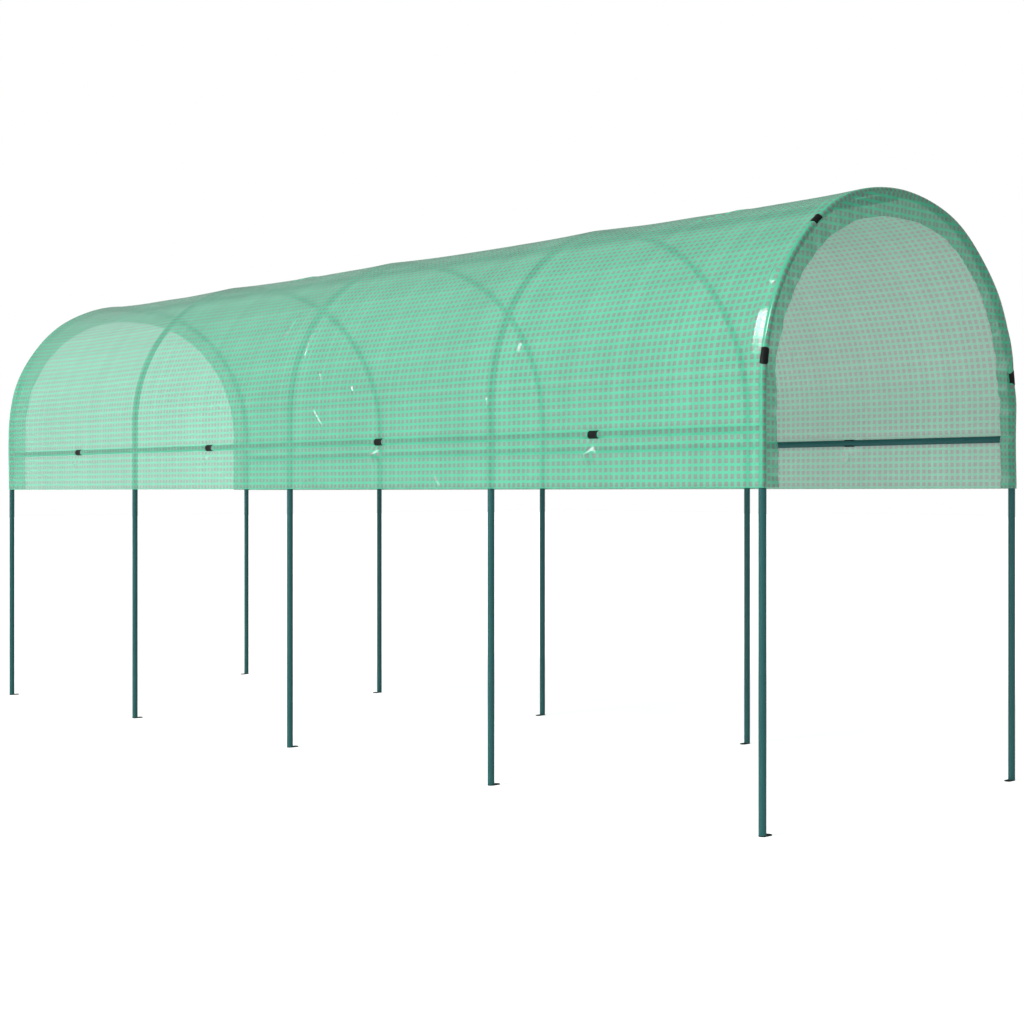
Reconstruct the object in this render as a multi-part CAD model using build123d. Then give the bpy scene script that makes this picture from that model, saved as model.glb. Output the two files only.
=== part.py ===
from build123d import *
import os
from math import cos, sin, radians, degrees

# Open polytunnel: five tube hoops, side and ridge rails, one film cover, snap-on clips.
# +X runs along the tunnel to the front end, +Y to the right-hand side seen
# from the front, +Z up. The origin is on the ground under the tunnel's centre.

# ---- driving dimensions (mm) ----
BAYS = 4                    # equal bays between the hoops
BAY = 1243.75               # hoop to hoop, centre to centre
LEG_SPACING = 1475.0        # left leg axis to right leg axis
TUBE_D = 25.0               # legs, arches and rails
TUBE_WALL = 0.8

SPRING_Z = 1385.0           # top of the straight legs, where the arch starts
SHOULDER_R = 694.0          # centre-line radius of the two long shoulder bends
SHOULDER_ANGLE = 83.6       # degrees of bend in each shoulder, the rest is the top

RAIL_Z = 1263.0             # side rail axis
RIDGE_Z = 2071.0            # ridge rail axis, a little under the arches' own axis
RAIL_TRIM = 6.0             # rail tips stop this far short of the hoop's plane
COVER_BOTTOM_Z = 1081.0     # lower edge of the film on both sides
COVER_GAP = 0.3             # film to tube
COVER_T = 1.2               # film
FLAP_INNER = 76.0           # flap's inner edge, inward from the hoop centre-line

FOOT_T = 3.0                # foot plate
FOOT_W = 25.6               # along the tunnel, the plate's edge nearly flush with the tube
FOOT_IN = 40.0              # tip of the peg tab, inward from the leg axis
PEG_HOLE_D = 8.0
PEG_HOLE_AT = 27.5          # peg hole, inward from the leg axis
PLUG_H = 22.0               # stub of the foot that plugs into the leg
PLUG_GAP = 0.1

CLIP_RI = 12.7              # clip bore
CLIP_RO = 14.1              # clip outside
RAIL_CLIP_L = 44.0          # clip length along its rail
CLIP_OPEN = 104.0           # degrees left open
CLIP_LIP_R = 1.2            # rounded lip along each edge of the opening
CLIP_CLEAR = 0.4            # room left round a clip in the film
RAIL_CLIP_X = (-1767.0, -600.0, 600.0, 1767.0)
# Front end clips: side, degrees up the shoulder bend from the spring line, length,
# degrees that the clip's back is turned from straight out towards the front.
END_CLIPS = ((-1, 8.6, 54.0, 45.0), (1, 8.6, 54.0, 45.0), (-1, 52.8, 44.0, -40.0))

# ---- derived ----
A = LEG_SPACING / 2
R = TUBE_D / 2
RIN = R - TUBE_WALL
HALF_L = BAYS * BAY / 2
HOOP_X = [HALF_L - i * BAY for i in range(BAYS + 1)]    # hoop 1 is the front one
AL = radians(SHOULDER_ANGLE)
SHOULDER_Y = A - SHOULDER_R                  # shoulder centre, out from the middle
TOP_R = SHOULDER_R + SHOULDER_Y / cos(AL)    # the nearly flat top, tangent to both
TOP_Z = SPRING_Z + (SHOULDER_R - TOP_R) * sin(AL)
COVER_IN = R + COVER_GAP
COVER_OUT = COVER_IN + COVER_T
END_X = HALF_L + COVER_IN                    # inner face of the end flaps

os.makedirs("parts", exist_ok=True)


def save(shape, name):
    shape.label = name
    export_step(shape, f"parts/{name}.step")


def arch_curve(off, z_low):
    """Edges of the hoop's centre-line moved outward by off, left foot to right."""
    r1, r2 = SHOULDER_R + off, TOP_R + off

    def shoulder(side, ang):
        return (0, side * (SHOULDER_Y + r1 * cos(ang)), SPRING_Z + r1 * sin(ang))

    top = (0, 0, TOP_Z + r2)
    return [
        Line((0, -(A + off), z_low), (0, -(A + off), SPRING_Z)),
        ThreePointArc(shoulder(-1, 0), shoulder(-1, AL / 2), shoulder(-1, AL)),
        ThreePointArc(shoulder(-1, AL), top, shoulder(1, AL)),
        ThreePointArc(shoulder(1, AL), shoulder(1, AL / 2), shoulder(1, 0)),
        Line((0, A + off, SPRING_Z), (0, A + off, z_low)),
    ]


def arch_band(off_in, off_out, z_low, x0, x1):
    """A band between two offsets of the hoop curve, from x0 to x1."""
    edges = arch_curve(off_out, z_low)
    edges.append(Line((0, A + off_out, z_low), (0, A + off_in, z_low)))
    edges += arch_curve(off_in, z_low)
    edges.append(Line((0, -(A + off_in), z_low), (0, -(A + off_out), z_low)))
    face = make_face(edges)
    return Pos(x0, 0, 0) * extrude(face, amount=x1 - x0, dir=(1, 0, 0))


def tube_ring():
    return Circle(R) - Circle(RIN)


# ---- legs, arches and feet ----
leg = Pos(0, 0, FOOT_T) * extrude(tube_ring(), amount=SPRING_Z - FOOT_T)

left_start = Pos(0, -A, SPRING_Z) * tube_ring()
left_axis = Axis((0, -SHOULDER_Y, SPRING_Z), (-1, 0, 0))
left_bend = revolve(left_start, axis=left_axis, revolution_arc=SHOULDER_ANGLE)
top_start = left_start.rotate(left_axis, SHOULDER_ANGLE)
top_bend = revolve(top_start, axis=Axis((0, 0, TOP_Z), (-1, 0, 0)),
                   revolution_arc=180 - 2 * SHOULDER_ANGLE)
right_bend = mirror(left_bend, about=Plane.XZ)
arch = left_bend + top_bend + right_bend

# Left foot: plate round under the leg, rounded tab inward with a peg hole, stub plug.
plate = Rectangle(FOOT_W, FOOT_IN - FOOT_W / 2, align=(Align.CENTER, Align.MIN))
plate += Circle(FOOT_W / 2) + Pos(0, FOOT_IN - FOOT_W / 2) * Circle(FOOT_W / 2)
plate -= Pos(0, PEG_HOLE_AT) * Circle(PEG_HOLE_D / 2)
foot = extrude(plate, amount=FOOT_T)
foot += Pos(0, 0, FOOT_T) * extrude(Circle(RIN - PLUG_GAP), amount=PLUG_H)
foot = Pos(0, -A, 0) * foot
right_foot = mirror(foot, about=Plane.XZ)

for i, x in enumerate(HOOP_X, start=1):
    save(Pos(x, -A, 0) * leg, f"hoop_{i}_left_leg")
    save(Pos(x, A, 0) * leg, f"hoop_{i}_right_leg")
    save(Pos(x, 0, 0) * arch, f"hoop_{i}_arch")
    save(Pos(x, 0, 0) * foot, f"hoop_{i}_left_foot")
    save(Pos(x, 0, 0) * right_foot, f"hoop_{i}_right_foot")

# ---- side rails, in line with the legs, ends cut to sit on them ----
rail_ring = Plane.YZ * tube_ring()
for side, y in (("left", -A), ("right", A)):
    for i in range(BAYS):
        x1, x0 = HOOP_X[i], HOOP_X[i + 1]
        rail = Pos(x0 + RAIL_TRIM, y, RAIL_Z) * extrude(
            rail_ring, amount=x1 - x0 - 2 * RAIL_TRIM, dir=(1, 0, 0))
        for x in (x0, x1):
            rail -= Pos(x, y, RAIL_Z) * Cylinder(R, 4 * TUBE_D)
        save(rail, f"{side}_rail_bay_{i + 1}")

# ---- ridge rails, under the top of the roof, ends cut to sit on the arches ----
for i in range(BAYS):
    x1, x0 = HOOP_X[i], HOOP_X[i + 1]
    rail = Pos(x0 + RAIL_TRIM, 0, RIDGE_Z) * extrude(
        rail_ring, amount=x1 - x0 - 2 * RAIL_TRIM, dir=(1, 0, 0))
    for x in (x0, x1):
        rail -= Pos(x, 0, TOP_Z) * Rot(0, 90, 0) * Torus(TOP_R, R)
    save(rail, f"ridge_rail_bay_{i + 1}")


# ---- clips ----
def clip_section(open_dir):
    """C section round the origin, open towards open_dir degrees in its own XY."""
    half = radians(CLIP_OPEN / 2)
    mid = (CLIP_RI + CLIP_RO) / 2
    reach = 3 * CLIP_RO
    wedge = Polygon((0, 0), (reach * cos(half), -reach * sin(half)),
                    (reach * 1.5, 0), (reach * cos(half), reach * sin(half)),
                    align=None)
    section = Circle(CLIP_RO) - Circle(CLIP_RI) - wedge
    lip = mid + 0.5
    for s in (-1, 1):
        section += Pos(lip * cos(half), s * lip * sin(half)) * Circle(CLIP_LIP_R)
    section -= Circle(CLIP_RI)
    return Rot(0, 0, open_dir) * section


# Rail clips: section in the Y-Z plane, open towards the inside of the tunnel.
side_clips, side_room = {}, []
for side, y, ang in (("left", -A, 0), ("right", A, 180)):
    solids = []
    for x in RAIL_CLIP_X:
        section = Pos(x - RAIL_CLIP_L / 2, y, RAIL_Z) * (Plane.YZ * clip_section(ang))
        solids.append(extrude(section, amount=RAIL_CLIP_L, dir=(1, 0, 0)))
        side_room.append(Pos(x, y, RAIL_Z) * Rot(0, 90, 0)
                         * Cylinder(CLIP_RO + CLIP_CLEAR, RAIL_CLIP_L + 2 * CLIP_CLEAR))
    side_clips[side] = solids

# End clips: section across the arch tube, bent along it. Each is made on the
# front left shoulder.
front_clips, front_room = [], []
at = Pos(HALF_L, -A, SPRING_Z)
axis = Axis((HALF_L, -SHOULDER_Y, SPRING_Z), (-1, 0, 0))
for side, up, length, back in END_CLIPS:
    half_bend = degrees(length / 2 / SHOULDER_R)
    room_bend = degrees((length / 2 + CLIP_CLEAR) / SHOULDER_R)
    section = (at * clip_section(90 + back)).rotate(axis, up - half_bend)
    one = revolve(section, axis=axis, revolution_arc=2 * half_bend)
    disc = (at * Circle(CLIP_RO + CLIP_CLEAR)).rotate(axis, up - room_bend)
    room = revolve(disc, axis=axis, revolution_arc=2 * room_bend)
    if side > 0:
        one, room = mirror(one, about=Plane.XZ), mirror(room, about=Plane.XZ)
    front_clips.append(one)
    front_room.append(room)

save(Compound(children=side_clips["left"]), "left_side_clips")
save(Compound(children=side_clips["right"]), "right_side_clips")
save(Compound(children=front_clips), "front_end_clips")

# ---- film: cover over the hoops, and a flat flap turned in at each end ----
cover = arch_band(COVER_IN, COVER_OUT, COVER_BOTTOM_Z, -END_X, END_X)
for room in side_room + front_room:
    cover -= room
save(cover, "cover")

front_flap = arch_band(-FLAP_INNER, COVER_OUT, COVER_BOTTOM_Z, END_X, END_X + COVER_T)
for room in front_room:
    front_flap -= room
save(front_flap, "front_end_flap")
rear_flap = arch_band(-FLAP_INNER, COVER_OUT, COVER_BOTTOM_Z, -END_X - COVER_T, -END_X)
save(rear_flap, "rear_end_flap")
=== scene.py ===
import math
import bmesh
import bpy
import numpy as np
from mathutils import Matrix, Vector


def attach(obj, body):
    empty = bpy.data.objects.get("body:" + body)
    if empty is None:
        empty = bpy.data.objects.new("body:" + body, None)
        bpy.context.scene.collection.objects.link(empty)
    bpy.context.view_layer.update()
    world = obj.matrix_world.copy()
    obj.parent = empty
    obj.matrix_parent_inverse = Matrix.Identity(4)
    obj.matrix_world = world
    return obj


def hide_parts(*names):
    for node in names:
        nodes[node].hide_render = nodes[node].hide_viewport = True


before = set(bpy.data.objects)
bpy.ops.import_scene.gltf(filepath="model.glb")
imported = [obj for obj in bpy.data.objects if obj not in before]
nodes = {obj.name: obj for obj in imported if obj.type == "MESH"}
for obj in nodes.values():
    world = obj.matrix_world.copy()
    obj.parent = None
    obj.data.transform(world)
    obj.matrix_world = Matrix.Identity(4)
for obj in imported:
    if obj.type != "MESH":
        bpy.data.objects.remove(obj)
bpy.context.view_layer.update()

scene = bpy.context.scene

# ------------------------------------------------------------------ sizes (m)
BAY = 1.24375
HALF_L = 2 * BAY
A = 0.7375                      # leg axis out from the middle
R = 0.0125                      # tube radius
ZS, R1, AL = 1.385, 0.694, math.radians(83.6)
SY = A - R1
R2 = R1 + SY / math.cos(AL)
TZ = ZS + (R1 - R2) * math.sin(AL)
RAIL_Z = 1.263
Z_LOW = 1.081                   # lower edge of the film
OFF0 = 0.0131                   # film, out from the tube axis
FLAP_INNER = 0.076
BEAD = 0.0011                   # rolled lower edge of the film
RAIL_CLIPS = (-1.767, -0.600, 0.600, 1.767)
RAIL_CLIP_L = 0.044
# Front end clips: side, angle up the shoulder bend, length, turn of the clip's
# back from straight out towards the front.
END_CLIPS = ((-1, math.radians(8.6), 0.054, math.radians(45)),
             (1, math.radians(8.6), 0.054, math.radians(45)),
             (-1, math.radians(52.8), 0.044, math.radians(-40)))

L_WALL = ZS - Z_LOW
L_SH = (R1 + OFF0) * AL
L_TOP = (R2 + OFF0) * (math.pi - 2 * AL)
GIRTH = 2 * L_WALL + 2 * L_SH + L_TOP
G_RAIL = RAIL_Z - Z_LOW


# -------------------------------------------------------------------- helpers
def smooth(a, b, x):
    t = np.clip((x - a) / (b - a), 0.0, 1.0)
    return t * t * (3 - 2 * t)


def hoop_frame(g):
    """Hoop centre-line point (y, z) and outward normal (ny, nz) at girth station g."""
    g = np.asarray(g, float)
    b1, b2 = L_WALL, L_WALL + L_SH
    b3, b4 = b2 + L_TOP, b2 + L_TOP + L_SH
    t = np.where(g < b1, 0.0, np.where(
        g < b2, (g - b1) / (R1 + OFF0), np.where(
            g < b3, AL + (g - b2) / (R2 + OFF0), np.where(
                g < b4, math.pi - AL + (g - b3) / (R1 + OFF0), math.pi))))
    c, s = np.cos(t), np.sin(t)
    top = (g >= b2) & (g < b3)
    side = np.where(t < math.pi / 2, -1.0, 1.0)
    y = np.where(top, -R2 * c, side * SY - R1 * c)
    z = np.where(top, TZ + R2 * s, ZS + R1 * s)
    z = np.where(g < b1, Z_LOW + g, z)
    z = np.where(g >= b4, ZS - (g - b4), z)
    return y, z, -c, s


def mesh_object(name, verts, faces):
    me = bpy.data.meshes.new(name)
    me.from_pydata([tuple(map(float, v)) for v in verts], [], faces)
    me.validate()
    me.shade_smooth()
    ob = bpy.data.objects.new(name, me)
    scene.collection.objects.link(ob)
    return ob


def add_uv(me, name, per_vertex):
    idx = np.empty(len(me.loops), np.int32)
    me.loops.foreach_get("vertex_index", idx)
    layer = me.uv_layers.new(name=name)
    layer.data.foreach_set("uv", np.ascontiguousarray(per_vertex[idx], dtype=np.float32).ravel())


def grid_object(name, pts, uvs, flip=False):
    """A smooth sheet from an (n, m, 3) array of points; uvs maps names to (n, m, 2)."""
    n, m = pts.shape[:2]
    idx = np.arange(n * m).reshape(n, m)
    quads = np.stack([idx[:-1, :-1], idx[1:, :-1], idx[1:, 1:], idx[:-1, 1:]], -1).reshape(-1, 4)
    if flip:
        quads = quads[:, ::-1]
    ob = mesh_object(name, pts.reshape(-1, 3), quads.tolist())
    for key, uv in uvs.items():
        add_uv(ob.data, key, uv.reshape(-1, 2))
    return ob


def line_distance(x, g, pts):
    """Distance from (x, g) to a polyline in the sheet, and how far along it, 0 to 1."""
    best = np.full(x.shape, 9.0)
    along = np.zeros(x.shape)
    lens = [math.dist(a, b) for a, b in zip(pts, pts[1:])]
    run, total = 0.0, sum(lens)
    for (ax, ag), (bx, bg), ln in zip(pts, pts[1:], lens):
        u = np.clip(((x - ax) * (bx - ax) + (g - ag) * (bg - ag)) / ln ** 2, 0, 1)
        d = np.hypot(x - ax - u * (bx - ax), g - ag - u * (bg - ag))
        near = d < best
        best = np.where(near, d, best)
        along = np.where(near, (run + u * ln) / total, along)
        run += ln
    return best, along


# ------------------------------------------------------------------- film form
rng = np.random.default_rng(11)
WAVES = [(rng.uniform(4, 16), rng.uniform(-14, 14), rng.uniform(0, 6.28),
          rng.uniform(0.5, 1.0)) for _ in range(9)]
BAY_SAG = (0.0085, 0.0088, 0.0078, 0.0095)

# Creases in the film: points (x, girth station) of the crest, height, half width.
CREASES = [
    ([(-0.1613, 0.6227), (-0.1438, 0.7236), (-0.1263, 0.7954)], 0.0047, 0.0086),
    ([(0.0568, 0.5432), (0.0493, 0.6557), (0.0918, 0.6906)], 0.0038, 0.0080),
    ([(0.1918, 0.4889), (0.1969, 0.4636), (0.2069, 0.4423)], 0.0039, 0.0082),
    ([(0.4163, 0.4131), (0.4303, 0.3843)], 0.0042, 0.0084),
    ([(0.1690, 0.3330), (0.2020, 0.2928), (0.2370, 0.2530)], 0.0049, 0.0090),
    ([(0.9357, 0.0500), (0.9682, 0.0039)], 0.0046, 0.0110),
    ([(0.0588, 0.0097), (0.2264, 0.0485)], -0.0026, 0.0100),
    ([(1.3664, 0.4850), (1.3689, 0.5063), (1.3714, 0.5315)], 0.0056, 0.0130),
    ([(1.2249, 0.3328), (1.2339, 0.3181), (1.2404, 0.2987)], 0.0047, 0.0090),
    # slack film beside the front end hoop, above its left lower clip
    ([(2.4535, 0.4050), (2.4525, 0.4950), (2.4575, 0.5850)], 0.0118, 0.0350),
    ([(2.4600, 0.6520), (2.4640, 0.7150)], 0.0082, 0.0190),
    ([(2.4520, GIRTH - 0.4500), (2.4580, GIRTH - 0.5700)], 0.0110, 0.0360),
    # the far side, the roof and the back have a few of the same kind
    ([(-0.86, GIRTH - 0.58), (-0.82, GIRTH - 0.50), (-0.80, GIRTH - 0.45)], 0.0052, 0.0120),
    ([(0.52, GIRTH - 0.33), (0.58, GIRTH - 0.27)], 0.0052, 0.0120),
    ([(1.52, GIRTH - 0.62), (1.50, GIRTH - 0.54)], 0.0052, 0.0120),
    ([(-1.42, GIRTH - 0.40), (-1.38, GIRTH - 0.34), (-1.36, GIRTH - 0.30)], 0.0052, 0.0120),
    ([(1.86, 1.10), (1.94, 1.16), (2.00, 1.25)], 0.0040, 0.0130),
    ([(0.62, 1.62), (0.70, 1.55), (0.80, 1.52)], 0.0040, 0.0130),
    ([(-0.62, 1.18), (-0.55, 1.26)], 0.0040, 0.0130),
    ([(-1.72, 1.70), (-1.62, 1.64)], 0.0040, 0.0130),
]
# Puckers beside the rail clips: x, girth station, height, radius.
PUCKERS = [
    (0.5740, 0.1330, 0.0180, 0.037),
    (1.7440, 0.1150, 0.0185, 0.039),
    (-0.6230, 0.1380, 0.0110, 0.027),
    (-1.7890, 0.1300, 0.0110, 0.027),
    (0.6240, GIRTH - 0.1380, 0.0110, 0.027),
    (1.7450, GIRTH - 0.1280, 0.0110, 0.027),
    (-0.5780, GIRTH - 0.1360, 0.0110, 0.027),
    (-1.7890, GIRTH - 0.1280, 0.0110, 0.027),
]
# Soft swellings at the ends: x, girth station, height, half width along and round.
BULGES = [
    (2.4500, 1.060, 0.0050, 0.026, 0.050),
    (2.4500, GIRTH - 0.720, 0.0050, 0.022, 0.040),
    (-2.4500, 0.520, 0.0060, 0.026, 0.060),
    (-2.4500, GIRTH - 0.660, 0.0055, 0.026, 0.060),
]


def tent(d, w):
    """Nearly straight flanks from a softened crest at d = 0 to nothing at d = w."""
    e = 0.10 * w
    return np.maximum(0.0, 1 - (np.sqrt(d * d + e * e) - e) / w) ** 1.3


def clip_near(g, width, turned=True):
    """1 at the front end clips, falling to 0 away from them; turned takes in all of them."""
    out = np.zeros(np.shape(g))
    for side, up, length, back in END_CLIPS:
        if back < 0 and turned is False:
            continue
        c = L_WALL + (R1 + OFF0) * up
        c = c if side < 0 else GIRTH - c
        d = np.maximum(np.abs(g - c) - 0.4 * length, 0)
        out = np.maximum(out, np.exp(-(d / width) ** 2))
    return out


def film_off(x, g):
    """How far the film stands out from the tube axis at (x, g)."""
    x, g = np.broadcast_arrays(np.asarray(x, float), np.asarray(g, float))
    gm = np.minimum(g, GIRTH - g)                   # from the nearer lower edge
    bay = np.clip(((HALF_L - x) / BAY).astype(int), 0, 3)
    t = np.clip((HALF_L - x) / BAY - bay, 0, 1)
    slack = 1 - np.abs(2 * t - 1) ** 2.6            # 0 on a hoop, 1 in mid bay
    sag = np.choose(bay, BAY_SAG)
    # the film hangs over the rail and draws in above and below it
    d = gm - G_RAIL
    above = 0.38 * smooth(0.010, 0.060, d) + 0.62 * smooth(0.05, 0.55, d)
    off = OFF0 - sag * slack * above - 0.0014 * slack * smooth(0.010, 0.050, -d)
    # slow waves in the loose film, none on the tubes
    wave = sum(a * np.sin(kx * x + kg * g + p) for kx, kg, p, a in WAVES) / len(WAVES)
    off = off + 0.0022 * wave * slack * smooth(0.03, 0.16, np.abs(d))
    # the free skirt below the rail
    skirt = smooth(0.02, G_RAIL, -d)
    off = off + skirt * slack * (0.0018 * np.sin(9.1 * x + 0.7) + 0.0010 * np.sin(23 * x))
    # film drawn round the rail under each clip, and in above and below it
    az = np.abs(d)
    hug = np.where(az < 0.0126, np.sqrt(np.maximum(OFF0 ** 2 - az ** 2, 0)) - OFF0,
                   -0.0095 * np.exp(-np.maximum(az - 0.0126, 0) / 0.026))
    for xc in RAIL_CLIPS:
        dx = np.maximum(np.abs(x - xc) - 0.42 * RAIL_CLIP_L, 0)
        off = off + hug * np.exp(-(dx / 0.026) ** 2)
    # the end edges stand off a little, except where the front clips hold them
    end = smooth(HALF_L - 0.10, HALF_L, np.abs(x))
    held = np.where(x > 0, clip_near(g, 0.050), 0.0)
    off = off + 0.0022 * end * (1 - held) * (0.8 + 0.5 * np.sin(17 * g + 2 * np.sign(x)))
    for bx, bg, h, wx, wg in BULGES:
        off = off + h * np.exp(-((x - bx) / wx) ** 2 - ((g - bg) / wg) ** 2)
    for px, pg, h, r in PUCKERS:
        off = off + h * tent(np.hypot(x - px, g - pg), r)
    for pts, h, w in CREASES:
        dist, u = line_distance(x, g, pts)
        off = off + h * tent(dist, w) * smooth(-0.15, 0.20, u) * smooth(1.15, 0.80, u)
    return off


def film_point(x, g, off):
    y, z, ny, nz = hoop_frame(g)
    return np.stack(np.broadcast_arrays(x, y + ny * off, z + nz * off), -1)


def cover_point(s, g):
    """The cover at sheet coordinates: s along, wrapping the end hoops, g round the girth."""
    x = np.clip(s, -HALF_L, HALF_L)
    off = film_off(x, np.clip(g, 0.0, GIRTH))
    roll = (np.maximum(-g, 0) + np.maximum(g - GIRTH, 0)) / BEAD
    past = BEAD * np.sin(roll)
    gr = np.where(g < 0, -past, np.where(g > GIRTH, GIRTH + past, g))
    off = off - BEAD * (1 - np.cos(roll))
    f = np.clip((np.abs(s) - HALF_L) / OFF0, 0, math.pi / 2)
    held = np.where(s > 0, clip_near(g, 0.050), 0.0)
    k = 2.0 / (3.2 - 1.2 * held)                    # squarer turn where no clip presses
    return film_point(x + np.sign(s) * off * np.sin(f) ** k, gr, off * np.cos(f) ** k)


def want_size(s, g):
    """Largest mesh cell wanted at a place in the sheet."""
    gm = np.minimum(g, GIRTH - g)
    h = np.full(s.shape, 0.030)
    h = np.where(np.abs(gm - G_RAIL) < 0.055, 0.012, h)
    h = np.where(HALF_L - np.abs(s) < 0.09, np.minimum(h, 0.012), h)
    for xc in RAIL_CLIPS:
        d = np.hypot(np.maximum(np.abs(s - xc) - 0.022, 0), np.maximum(np.abs(gm - G_RAIL) - 0.013, 0))
        h = np.minimum(h, np.where(d < 0.024, 0.003, np.where(d < 0.075, 0.006, 1.0)))
    for bx, bg, _, wx, wg in BULGES:
        e = ((s - bx) / wx) ** 2 + ((g - bg) / wg) ** 2
        h = np.minimum(h, np.where(e < 5.0, max(0.003, 0.24 * wx), 1.0))
    for px, pg, _, r in PUCKERS:
        h = np.minimum(h, np.where(np.hypot(s - px, g - pg) < 1.15 * r, 0.003, 1.0))
    for pts, _, w in CREASES:
        d, _ = line_distance(s, g, pts)
        h = np.minimum(h, np.where(d < 1.2 * w, 0.003, 1.0))
    return h


# ------------------------------------------------------------------ film cover
def build_cover():
    bead = BEAD * np.linspace(math.radians(300), 0, 8)[:-1]
    rows = np.concatenate([-bead, np.linspace(0, GIRTH, 134), GIRTH + bead[::-1]])
    wrap = OFF0 * np.linspace(0, math.pi / 2, 10)[1:]
    cols = np.concatenate([-(HALF_L + wrap[::-1]), np.linspace(-HALF_L, HALF_L, 229), HALF_L + wrap])
    bm = bmesh.new()
    grid = [[bm.verts.new((s, g, 0.0)) for s in cols] for g in rows]
    for lo, up in zip(grid, grid[1:]):
        for j in range(len(cols) - 1):
            bm.faces.new((lo[j], lo[j + 1], up[j + 1], up[j]))
    for _ in range(3):                              # closer mesh only where the form is small
        faces = list(bm.faces)
        mid = np.array([f.calc_center_median()[:2] for f in faces])
        size = np.sqrt([f.calc_area() for f in faces])
        pick = size > 1.25 * want_size(mid[:, 0], mid[:, 1])
        edges = list({e for f, p in zip(faces, pick) if p for e in f.edges})
        bmesh.ops.subdivide_edges(bm, edges=edges, cuts=1, use_grid_fill=True)
    many = [f for f in bm.faces if len(f.verts) > 4]
    if many:
        bmesh.ops.triangulate(bm, faces=many)
    me = bpy.data.meshes.new("film_cover")
    bm.to_mesh(me)
    bm.free()
    co = np.empty(3 * len(me.vertices), np.float32)
    me.vertices.foreach_get("co", co)
    s, g = co.reshape(-1, 3)[:, :2].astype(float).T
    me.vertices.foreach_set("co", np.ascontiguousarray(cover_point(s, g), dtype=np.float32).ravel())
    me.update()
    weave = np.stack([s + 2.6095, g + 0.1], -1)
    unit = (weave - weave.min(0)) / np.ptp(weave, axis=0)
    add_uv(me, "weave", weave)
    add_uv(me, "OFBake", unit * 0.996 + 0.002)
    me.shade_smooth()
    ob = bpy.data.objects.new("film_cover", me)
    scene.collection.objects.link(ob)
    return ob, (float(np.ptp(rows)), float(np.ptp(cols)))


cover, COVER_FLAT = build_cover()

# ------------------------------------------------------------------- end flaps
FLAP_AT = [0, 0.15, 0.30, 0.42, 0.60, 0.80, 1.00, 1.20, 1.35, 1.50, 1.70, 1.90, 2.10, 2.30, 2.42, 2.52, 2.70, 2.92]
FLAP_REACH = [0.068, 0.065, 0.054, 0.053, 0.058, 0.067, 0.075, 0.082, 0.085, 0.085, 0.081, 0.081, 0.087, 0.100,
              0.107, 0.106, 0.097, 0.095]
flaps = []
g_flap = np.linspace(0.0, GIRTH, 261)
q_flap = np.concatenate([np.linspace(0, 0.18, 8), np.linspace(0.18, 1, 13)[1:]])
for side, name in ((1, "film_front_flap"), (-1, "film_rear_flap")):
    rho = film_off(np.full(len(g_flap), side * HALF_L), g_flap)
    held = clip_near(g_flap, 0.042, turned=False) if side > 0 else np.zeros(len(g_flap))
    if side > 0:                                    # how far in the front flap reaches
        depth = np.interp(g_flap, FLAP_AT, FLAP_REACH)
        depth = np.convolve(np.pad(depth, 7, "edge"), np.ones(15) / 15, "valid")
    else:
        depth = FLAP_INNER + 0.006 * np.sin(2.6 * g_flap + 0.8)
    depth = depth + 0.0012 * np.sin(31 * g_flap)
    layers = []
    for k in q_flap:
        d = depth * k
        flat = rho * (1 - 0.30 * k ** 1.4)          # nearly in the plane of the end
        drawn = np.maximum(np.sqrt(np.maximum(OFF0 ** 2 - d ** 2, 0)), 0.0030)
        drawn = drawn + 0.004 * smooth(0.014, 0.06, d)
        swell = smooth(0.012, 0.05, d)
        ripple = swell * (0.0020 * np.sin(46 * g_flap + 3 * np.sin(7 * g_flap + side))
                          + 0.0012 * np.sin(113 * g_flap + 2 * np.sin(19 * g_flap)))
        layers.append(film_point(side * (HALF_L + (1 - held) * flat + held * drawn + ripple), g_flap, -d))
    fp = np.stack(layers, 1)
    wv = np.stack([fp[..., 1] + 2.0125, fp[..., 2] - 0.9], -1)
    un = np.stack([(fp[..., 1] + 0.78) / 1.56, (fp[..., 2] - 1.0) / 1.56], -1)
    flaps.append(grid_object(name, fp, {"weave": wv, "OFBake": un}, flip=side > 0))

# ----------------------------------------------------------------------- clips
CLIP_RI, CLIP_RO, LIP = 0.01320, 0.01440, 0.0011


def clip_profile():
    """Closed C section, back towards +p, open towards -p."""
    end = math.radians(180 - 52)
    mid_r = (CLIP_RI + CLIP_RO) / 2 + 0.0005
    pts = [(CLIP_RO * math.cos(a), CLIP_RO * math.sin(a)) for a in np.linspace(-end, end, 41)[1:-1]]
    c = np.array([mid_r * math.cos(end), mid_r * math.sin(end)])
    for a in np.linspace(end - 0.5, end + math.pi + 0.3, 11):
        pts.append(tuple(c + LIP * np.array([math.cos(a), math.sin(a)])))
    pts += [(CLIP_RI * math.cos(a), CLIP_RI * math.sin(a)) for a in np.linspace(end, -end, 41)[2:-2]]
    c = np.array([mid_r * math.cos(end), -mid_r * math.sin(end)])
    for a in np.linspace(-end - math.pi - 0.3, -end + 0.5, 11):
        pts.append(tuple(c + LIP * np.array([math.cos(a), math.sin(a)])))
    return np.array(pts)


PROFILE = clip_profile()


def clip_layers(length):
    """Stations along a clip, from its middle, and how much the outside grows there."""
    h = length / 2
    near = [(h, -0.00045), (h - 0.00022, -0.00020), (h - 0.0007, -0.00004), (h - 0.0016, 0.0),
            (h - 0.0020, 0.00025), (h - 0.0040, 0.00025), (h - 0.0045, 0.0), (h * 0.4, 0.0)]
    return [(-w, k) for w, k in near] + [(0.0, 0.0)] + near[::-1]


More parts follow.
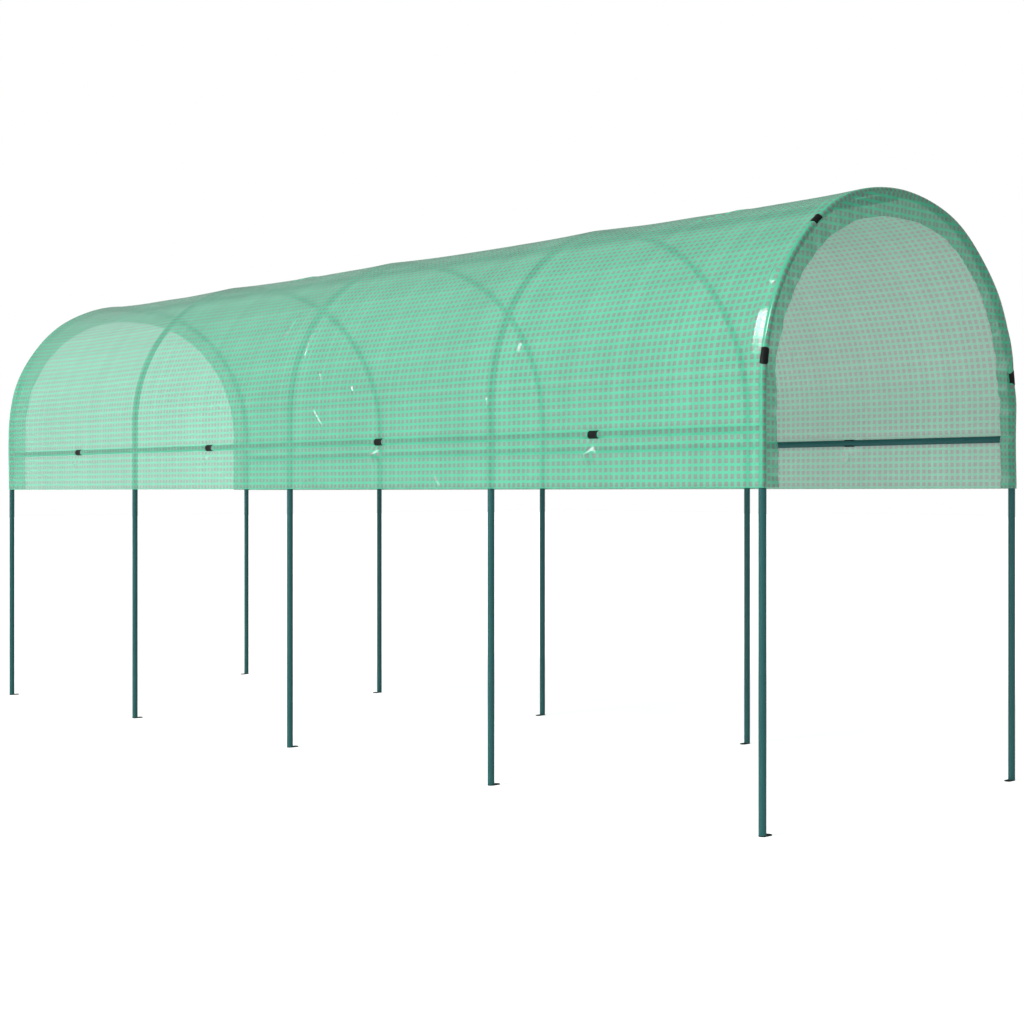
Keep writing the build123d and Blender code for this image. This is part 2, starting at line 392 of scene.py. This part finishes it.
def add_clip(verts, faces, place, length, corner=0.0):
    """place(w, p, q) puts a point of the clip, w along the tube, into the frame.
    corner shortens the clip's arms from its back round to its lips."""
    base, n = len(verts), len(PROFILE)
    rad = np.linalg.norm(PROFILE, axis=1)
    outer = np.clip((rad - CLIP_RI) / (CLIP_RO - CLIP_RI), 0, 1)
    unit_v = PROFILE / rad[:, None]
    layers = clip_layers(length)
    for w, grow in layers:
        ring = PROFILE + unit_v * (grow * outer)[:, None]
        if grow < 0:                    # rounded ends thin from both faces
            ring = ring - unit_v * (grow * (1 - outer))[:, None]
        for p, q in ring:
            # half a turn from the back each way, eased so that the back stays full length
            round_off = corner * (1 - math.cos(min(abs(math.atan2(q, p)), math.pi / 2))) ** 1.5
            verts.append(place(w * (1 - round_off / (length / 2)), p, q))
    for k in range(len(layers) - 1):
        for i in range(n):
            j = (i + 1) % n
            faces.append((base + k * n + i, base + k * n + j, base + (k + 1) * n + j, base + (k + 1) * n + i))
    half = 39 + 11                       # outer arc and one lip, then the inner arc
    for k, turn in ((0, 1), (len(layers) - 1, -1)):
        ring = [base + k * n + i for i in range(n)]
        outer_i = list(range(39))
        inner_i = list(range(half, half + 37))[::-1]
        for a in range(36):
            o0, o1 = ring[outer_i[a + 1]], ring[outer_i[a + 2]]
            i0, i1 = ring[inner_i[a]], ring[inner_i[a + 1]]
            f = (o0, i0, i1, o1)
            faces.append(f if turn > 0 else f[::-1])
        l1 = [ring[i] for i in range(37, half + 1)]
        l2 = [ring[i % n] for i in range(half + 36, n + 2)]
        faces.append(tuple(l1[::-1] if turn > 0 else l1))
        faces.append(tuple(l2[::-1] if turn > 0 else l2))


clips = []
for side, node in ((-1, "left_side_clips"), (1, "right_side_clips")):
    verts, faces = [], []
    for xc in RAIL_CLIPS:
        add_clip(verts, faces, lambda w, p, q, xc=xc, side=side:
                 (xc + w, side * (A + p), RAIL_Z + q), RAIL_CLIP_L)
    clips.append((mesh_object("film_" + node, verts, faces), node))
verts, faces = [], []
for side, up, length, back in END_CLIPS:
    def place(w, p, q, side=side, up=up, back=back):
        t = up + w / R1
        out = p * math.cos(back) - q * side * math.sin(back)
        along = p * math.sin(back) + q * side * math.cos(back)
        r = R1 + out
        return (HALF_L + along, side * (SY + r * math.cos(t)), ZS + r * math.sin(t))
    # the lower pair is rounded off more than the upper one
    add_clip(verts, faces, place, length, corner=0.009 if up < 0.5 else 0.002)
clips.append((mesh_object("film_front_end_clips", verts, faces), "front_end_clips"))

for ob, node in clips:
    bm = bmesh.new()
    bm.from_mesh(ob.data)
    bmesh.ops.recalc_face_normals(bm, faces=bm.faces)
    bm.to_mesh(ob.data)
    bm.free()
    ob.data.shade_smooth()
    ob.data.set_sharp_from_angle(angle=math.radians(50))


# ------------------------------------------------------------------- materials
class Tree:
    """Short names for the node calls that the materials and the studio use."""

    def __init__(self, owner, output):
        self.owner = owner
        owner.use_nodes = True
        self.nt = owner.node_tree
        self.nt.nodes.clear()
        self.out = self.nt.nodes.new(output)

    def node(self, kind):
        return self.nt.nodes.new(kind)

    def link(self, a, b):
        self.nt.links.new(a, b)

    def put(self, sock, v):
        if isinstance(v, bpy.types.NodeSocket):
            self.link(v, sock)
        else:
            sock.default_value = v

    def math(self, op, a, b=0.0, clamp=False):
        n = self.node("ShaderNodeMath")
        n.operation = op
        n.use_clamp = clamp
        self.put(n.inputs[0], a)
        self.put(n.inputs[1], b)
        return n.outputs[0]

    def ramp(self, v, a, b, lo=0.0, hi=1.0):
        n = self.node("ShaderNodeMapRange")
        n.interpolation_type = "SMOOTHSTEP"
        self.put(n.inputs["Value"], v)
        n.inputs["From Min"].default_value = a
        n.inputs["From Max"].default_value = b
        n.inputs["To Min"].default_value = lo
        n.inputs["To Max"].default_value = hi
        return n.outputs["Result"]

    def noise(self, vec, scale, detail=2.0, rough=0.5):
        n = self.node("ShaderNodeTexNoise")
        n.inputs["Scale"].default_value = scale
        n.inputs["Detail"].default_value = detail
        n.inputs["Roughness"].default_value = rough
        self.put(n.inputs["Vector"], vec)
        return n.outputs["Fac"]

    def mix(self, fac, a, b):
        n = self.node("ShaderNodeMix")
        n.data_type = "RGBA"
        self.put(n.inputs["Factor"], fac)
        sa = [s for s in n.inputs if s.name == "A" and s.type == "RGBA"][0]
        sb = [s for s in n.inputs if s.name == "B" and s.type == "RGBA"][0]
        self.put(sa, a)
        self.put(sb, b)
        return [s for s in n.outputs if s.type == "RGBA"][0]

    def scale_color(self, col, k):
        n = self.node("ShaderNodeVectorMath")
        n.operation = "SCALE"
        self.put(n.inputs[0], col)
        self.put(n.inputs["Scale"], k)
        return n.outputs[0]

    def bump(self, height, distance, strength=1.0, normal=None):
        n = self.node("ShaderNodeBump")
        n.inputs["Distance"].default_value = distance
        n.inputs["Strength"].default_value = strength
        self.put(n.inputs["Height"], height)
        if normal is not None:
            self.link(normal, n.inputs["Normal"])
        return n.outputs["Normal"]


def material(name):
    return Tree(bpy.data.materials.new(name), "ShaderNodeOutputMaterial")


def film_material():
    t = material("green_grid_film")
    uv = t.node("ShaderNodeUVMap")
    uv.uv_map = "weave"
    geo = t.node("ShaderNodeTexCoord")
    sep = t.node("ShaderNodeSeparateXYZ")
    t.link(uv.outputs["UV"], sep.inputs[0])
    wob = t.noise(uv.outputs["UV"], 9.0, 2.0)
    wob = t.math("MULTIPLY", t.math("SUBTRACT", wob, 0.5), 0.10)
    cu = t.math("ADD", t.math("MULTIPLY", sep.outputs[0], 40.0), wob)
    cv = t.math("ADD", t.math("MULTIPLY", sep.outputs[1], 40.5), wob)

    def window(c):
        f = t.math("FRACT", c)
        d = t.math("MULTIPLY", t.math("ABSOLUTE", t.math("SUBTRACT", f, 0.5)), 2.0)
        return t.ramp(d, 0.58, 0.69, 1.0, 0.0)

    win = t.math("MULTIPLY", window(cu), window(cv))

    def thread(c):
        n = t.node("ShaderNodeTexWhiteNoise")
        n.noise_dimensions = "1D"
        t.link(t.math("FLOOR", t.math("ADD", c, 0.5)), n.inputs["W"])
        return n.outputs["Value"]

    per = t.math("ADD", t.math("MULTIPLY", thread(cu), 0.5), t.math("MULTIPLY", thread(cv), 0.5))
    cloud = t.noise(geo.outputs["Object"], 2.6, 3.0, 0.55)
    lum = t.math("ADD", t.math("MULTIPLY", per, 0.14), t.math("MULTIPLY", cloud, 0.16))
    lum = t.math("ADD", lum, 0.85)
    green = t.mix(cloud, (0.070, 0.525, 0.305, 1), (0.082, 0.580, 0.345, 1))
    grey = t.mix(per, (0.183, 0.268, 0.222, 1), (0.207, 0.302, 0.252, 1))
    col = t.scale_color(t.mix(win, green, grey), lum)
    # a slanting look goes through more of the film, so less comes through it
    lw = t.node("ShaderNodeLayerWeight")
    lw.inputs["Blend"].default_value = 0.5
    through = t.math("SUBTRACT", 0.245, t.math("MULTIPLY", lw.outputs["Facing"], 0.11))
    through = t.math("SUBTRACT", through, t.math("MULTIPLY", win, 0.015))
    alpha = t.math("SUBTRACT", 1.0, through)
    # fine tape weave inside the threads, raised threads, slight crinkle
    fu = t.math("ABSOLUTE", t.math("SINE", t.math("MULTIPLY", sep.outputs[0], math.pi / 0.0025)))
    fv = t.math("ABSOLUTE", t.math("SINE", t.math("MULTIPLY", sep.outputs[1], math.pi / 0.0025)))
    fine = t.math("MULTIPLY", fu, fv)
    crinkle = t.noise(geo.outputs["Object"], 34.0, 3.0, 0.6)
    nrm = t.bump(crinkle, 0.004, 0.13)
    relief = t.math("SUBTRACT", 1.0, win)
    relief = t.math("ADD", relief, t.math("MULTIPLY", fine, 0.35))
    nrm = t.bump(relief, 0.0003, 0.3, nrm)
    p = t.node("ShaderNodeBsdfPrincipled")
    t.link(col, p.inputs["Base Color"])
    t.link(alpha, p.inputs["Alpha"])
    t.link(nrm, p.inputs["Normal"])
    rough = t.math("ADD", 0.15, t.math("MULTIPLY", crinkle, 0.12))
    t.link(rough, p.inputs["Roughness"])
    p.inputs["Specular IOR Level"].default_value = 0.6
    t.link(p.outputs[0], t.out.inputs["Surface"])
    return t.owner


def tube_material():
    t = material("teal_painted_tube")
    geo = t.node("ShaderNodeTexCoord")
    big = t.noise(geo.outputs["Object"], 7.0, 3.0)
    fine = t.noise(geo.outputs["Object"], 420.0, 2.0)
    speck = t.noise(geo.outputs["Object"], 130.0, 2.0, 0.7)
    col = t.mix(big, (0.011, 0.088, 0.088, 1), (0.016, 0.108, 0.107, 1))
    scuff = t.ramp(speck, 0.70, 0.80)
    col = t.mix(t.math("MULTIPLY", scuff, 0.35), col, (0.05, 0.15, 0.145, 1))
    p = t.node("ShaderNodeBsdfPrincipled")
    t.link(col, p.inputs["Base Color"])
    t.link(t.math("ADD", 0.30, t.math("MULTIPLY", big, 0.16)), p.inputs["Roughness"])
    p.inputs["Specular IOR Level"].default_value = 0.3
    t.link(t.bump(fine, 0.0004, 0.25), p.inputs["Normal"])
    t.link(p.outputs[0], t.out.inputs["Surface"])
    return t.owner


def black_material(name, rough, grain, tint):
    t = material(name)
    geo = t.node("ShaderNodeTexCoord")
    n1 = t.noise(geo.outputs["Object"], grain, 3.0, 0.6)
    n2 = t.noise(geo.outputs["Object"], 40.0, 2.0)
    col = t.mix(n2, tint, tuple(1.7 * c for c in tint[:3]) + (1,))
    p = t.node("ShaderNodeBsdfPrincipled")
    t.link(col, p.inputs["Base Color"])
    t.link(t.math("ADD", rough - 0.08, t.math("MULTIPLY", n1, 0.16)), p.inputs["Roughness"])
    p.inputs["Specular IOR Level"].default_value = 0.14
    t.link(t.bump(n1, 0.0004, 0.35), p.inputs["Normal"])
    t.link(p.outputs[0], t.out.inputs["Surface"])
    return t.owner


def floor_material():
    t = material("pale_floor")
    geo = t.node("ShaderNodeTexCoord")
    n = t.noise(geo.outputs["Object"], 0.6, 2.0)
    col = t.mix(n, (0.78, 0.78, 0.78, 1), (0.82, 0.82, 0.82, 1))
    p = t.node("ShaderNodeBsdfPrincipled")
    t.link(col, p.inputs["Base Color"])
    p.inputs["Roughness"].default_value = 0.9
    p.inputs["Specular IOR Level"].default_value = 0.1
    p.inputs["Emission Color"].default_value = (1, 1, 1, 1)
    seen = t.node("ShaderNodeLightPath").outputs["Is Camera Ray"]
    t.link(t.math("ADD", 0.17, t.math("MULTIPLY", seen, 0.45)), p.inputs["Emission Strength"])
    t.link(p.outputs[0], t.out.inputs["Surface"])
    return t.owner


FILM = film_material()
TUBE = tube_material()
CLIP = black_material("black_moulded_clip", 0.45, 700.0, (0.0042, 0.0052, 0.0050, 1))
FOOT = black_material("black_painted_foot", 0.50, 300.0, (0.009, 0.012, 0.011, 1))


def dress(ob, mat):
    ob.data.materials.clear()
    ob.data.materials.append(mat)


dress(cover, FILM)
for fl in flaps:
    dress(fl, FILM)
for ob, node in clips:
    dress(ob, CLIP)
for name, ob in nodes.items():
    if name.endswith("_foot"):
        dress(ob, FOOT)
    elif name.endswith(("_leg", "_arch")) or "_rail_bay_" in name:
        dress(ob, TUBE)

# ------------------------------------------------------------ what rides where
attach(cover, "root")
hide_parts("cover")
for fl, node in zip(flaps, ("front_end_flap", "rear_end_flap")):
    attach(fl, "root")
    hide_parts(node)
for ob, node in clips:
    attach(ob, "root")
    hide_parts(node)

# ------------------------------------------------------- stage, light and camera
me = bpy.data.meshes.new("stage_floor")
S = 60.0
me.from_pydata([(-S, -S, 0), (S, -S, 0), (S, S, 0), (-S, S, 0)], [], [(0, 1, 2, 3)])
floor = bpy.data.objects.new("stage_floor", me)
scene.collection.objects.link(floor)
dress(floor, floor_material())

# White surround with one tall soft strip of light on the near side.
studio = bpy.data.worlds.new("studio")
scene.world = studio
w = Tree(studio, "ShaderNodeOutputWorld")
direction = w.node("ShaderNodeTexCoord")
sep = w.node("ShaderNodeSeparateXYZ")
w.link(direction.outputs["Generated"], sep.inputs[0])
turn = w.math("ARCTAN2", sep.outputs["Y"], sep.outputs["X"])
aside = w.math("ABSOLUTE", w.math("ADD", turn, 1.71))
strip = w.ramp(aside, 0.045, 0.070, 1.0, 0.0)
strip = w.math("MULTIPLY", strip, w.ramp(sep.outputs["Z"], -0.03, 0.01))
strip = w.math("MULTIPLY", strip, w.ramp(sep.outputs["Z"], 0.78, 0.86, 1.0, 0.0))
fill = w.math("SUBTRACT", 0.54, w.math("MULTIPLY", sep.outputs["Y"], 0.36))
fill = w.math("SUBTRACT", fill, w.math("MULTIPLY", sep.outputs["X"], 0.04))
fill = w.math("SUBTRACT", fill, w.math("MULTIPLY", sep.outputs["Z"], 0.08))
glow = w.math("ADD", w.math("MULTIPLY", strip, 8.5), fill)
seen = w.node("ShaderNodeLightPath").outputs["Is Camera Ray"]
glow = w.math("ADD", w.math("MULTIPLY", glow, w.math("SUBTRACT", 1.0, seen)), seen)
bg = w.node("ShaderNodeBackground")
bg.inputs["Color"].default_value = (1, 1, 1, 1)
w.link(glow, bg.inputs["Strength"])
w.link(bg.outputs["Background"], w.out.inputs["Surface"])

ld = bpy.data.lights.new("key", "SUN")
ld.energy = 1.48
ld.angle = math.radians(16)
key = bpy.data.objects.new("key", ld)
key.location = (0.4, -6.0, 4.5)
key.rotation_euler = Vector((0.128, 0.809, -0.574)).to_track_quat("-Z", "Y").to_euler()
scene.collection.objects.link(key)

cd = bpy.data.cameras.new("camera")
cam = bpy.data.objects.new("camera", cd)
scene.collection.objects.link(cam)
cam.location = (5.7269, -4.8509, 1.0665)
cam.rotation_euler = (math.radians(90), 0, math.radians(46.7434))
cd.sensor_width = 36.0
cd.lens = 36.0 * 1671.3125 / 1024
cd.shift_y = -0.01926
cd.clip_end = 200
scene.camera = cam
scene.view_settings.view_transform = "Standard"
scene.view_settings.look = "None"
